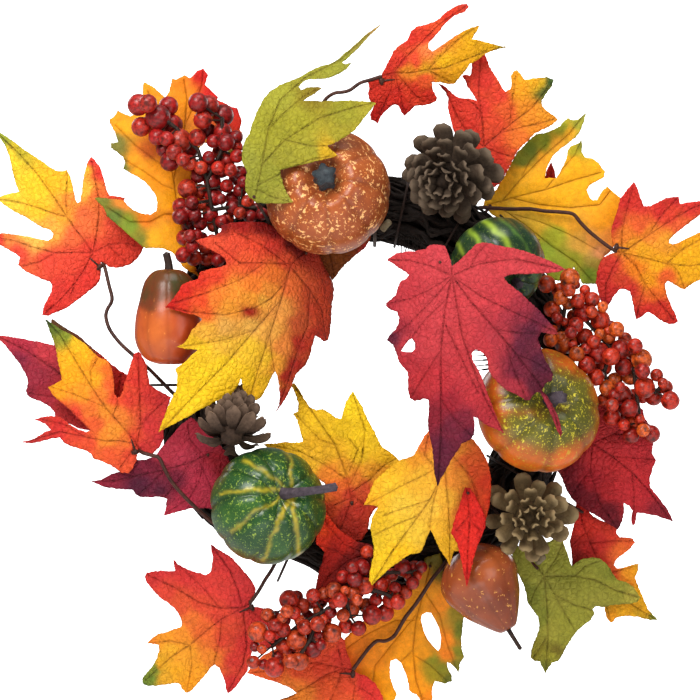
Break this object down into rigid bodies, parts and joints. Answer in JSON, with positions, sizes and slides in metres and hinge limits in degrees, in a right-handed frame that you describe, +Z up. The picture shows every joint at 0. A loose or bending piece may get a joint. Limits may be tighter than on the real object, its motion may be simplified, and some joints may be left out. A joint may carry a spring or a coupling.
{
  "type": "harvest door wreath",
  "caption": "Round grapevine door wreath dressed with fabric autumn leaves, small gourds, pine cones and berry sprays, hung from a wire loop at the back.",
  "frame": {"origin": "centre of the bore of the wire hanging loop at the top of the back", "axes": "+Z up, +X to the right seen from the front, the dressed face looks along -Y and the back lies on the door at +Y"},
  "size_m": [0.5365, 0.1369, 0.5188],
  "materials": {
    "berry_dark_red": "lacquered dark red foam berries",
    "berry_orange_red": "lacquered orange-red foam berries",
    "berry_red": "lacquered red foam berries",
    "binding_wire": "thin brown-black florist wire",
    "gourd_brown": "glossy red-brown speckled foam",
    "gourd_dark_green": "dark green painted foam with lime stripes",
    "gourd_green_cap": "orange painted foam with a green cap",
    "gourd_stem": "dark grey-purple moulded stem, ribbed",
    "gourd_striped": "dark green painted foam, yellow stripes and pale speckles",
    "hanger_wire": "brown enamelled wire",
    "leaf_amber": "printed polyester, amber with green edges",
    "leaf_brown": "printed polyester, russet brown",
    "leaf_crimson": "printed polyester, crimson with dark veins",
    "leaf_gold": "printed polyester, golden yellow",
    "leaf_olive": "printed polyester, olive green",
    "leaf_scarlet": "printed polyester, scarlet with orange edges",
    "leaf_scarlet_gold": "printed polyester, scarlet running to gold",
    "pinecone": "dry grey-brown cone scales with paler tips",
    "pumpkin_copper": "copper-orange painted foam with gold speckles",
    "pumpkin_mottled": "orange painted foam mottled green with yellow speckles",
    "stem_wire": "brown plastic-coated stem wire",
    "vine": "dark brown twig bark, matt"
  },
  "bodies": {
    "wreath": {"berries_lower": "berry_red", "berries_right": "berry_orange_red", "berries_upper_left": "berry_dark_red", "berry_stem_lower": "stem_wire", "berry_stem_right": "stem_wire", "berry_stem_upper_left": "stem_wire", "gourd_brown": "gourd_brown", "gourd_brown_stem": "gourd_stem", "gourd_dark_green": "gourd_dark_green", "gourd_dark_green_stem": "gourd_stem", "gourd_green_cap": "gourd_green_cap", "gourd_green_cap_stem": "gourd_stem", "gourd_picks": "binding_wire", "gourd_striped": "gourd_striped", "gourd_striped_stem": "gourd_stem", "hanger_band": "hanger_wire", "leaf_02": "leaf_amber", "leaf_03": "leaf_crimson", "leaf_04": "leaf_olive", "leaf_06": "leaf_scarlet", "leaf_07": "leaf_amber", "leaf_09": "leaf_crimson", "leaf_10": "leaf_scarlet_gold", "leaf_11": "leaf_brown", "leaf_13": "leaf_crimson", "leaf_16": "leaf_amber", "leaf_17": "leaf_gold", "leaf_18": "leaf_gold", "leaf_19": "leaf_scarlet", "leaf_20": "leaf_crimson", "leaf_21": "leaf_scarlet", "leaf_22": "leaf_olive", "leaf_23": "leaf_crimson", "leaf_24": "leaf_scarlet", "leaf_wire_01": "stem_wire", "leaf_wire_05": "stem_wire", "leaf_wire_08": "stem_wire", "leaf_wire_12": "stem_wire", "leaf_wire_14": "stem_wire", "leaf_wire_15": "stem_wire", "pinecone_left": "pinecone", "pinecone_right": "pinecone", "pinecone_top": "pinecone", "pinecone_wires": "binding_wire", "pumpkin_copper": "pumpkin_copper", "pumpkin_copper_stem": "gourd_stem", "pumpkin_mottled": "pumpkin_mottled", "pumpkin_mottled_stem": "gourd_stem", "short_leaf_stems": "stem_wire", "vine_binding": "binding_wire", "vine_core": "vine", "vine_strands": "vine"},
    "hanging_loop": {"hanging_loop": "hanger_wire"},
    "leaf_01_blade": {"leaf_01": "leaf_scarlet_gold"},
    "leaf_05_blade": {"leaf_05": "leaf_scarlet_gold"},
    "leaf_08_blade": {"leaf_08": "leaf_scarlet_gold"},
    "leaf_12_blade": {"leaf_12": "leaf_scarlet_gold"},
    "leaf_14_blade": {"leaf_14": "leaf_scarlet"},
    "leaf_15_blade": {"leaf_15": "leaf_scarlet"}
  },
  "joints": [
    {"name": "loop_hinge", "type": "hinge", "parent": "wreath", "child": "hanging_loop", "pos_m": [0, 0, -0.0165], "axis": [-1, 0, 0], "range_deg": [-30, 155]},
    {"name": "leaf_01_bend", "type": "hinge", "parent": "wreath", "child": "leaf_01_blade", "pos_m": [-0.1891, -0.0241, -0.0698], "axis": [0.6593, 0.0636, 0.7492], "range_deg": [-5, 15]},
    {"name": "leaf_05_bend", "type": "hinge", "parent": "wreath", "child": "leaf_05_blade", "pos_m": [0.0114, -0.0482, 0.0638], "axis": [0.0995, 0.0277, -0.9947], "range_deg": [-5, 20]},
    {"name": "leaf_08_bend", "type": "hinge", "parent": "wreath", "child": "leaf_08_blade", "pos_m": [0.1807, -0.0276, -0.0612], "axis": [-0.1191, -0.0124, -0.9928], "range_deg": [-4, 15]},
    {"name": "leaf_12_bend", "type": "hinge", "parent": "wreath", "child": "leaf_12_blade", "pos_m": [-0.1613, -0.0551, -0.204], "axis": [0.9534, -0.0214, 0.3011], "range_deg": [-3, 12]},
    {"name": "leaf_14_bend", "type": "hinge", "parent": "wreath", "child": "leaf_14_blade", "pos_m": [-0.0827, -0.0339, -0.314], "axis": [-0.3901, -0.0354, 0.9201], "range_deg": [-5, 20]},
    {"name": "leaf_15_bend", "type": "hinge", "parent": "wreath", "child": "leaf_15_blade", "pos_m": [-0.0086, -0.0391, -0.3615], "axis": [0.0499, 0.0121, 0.9987], "range_deg": [-3, 10]}
  ]
}
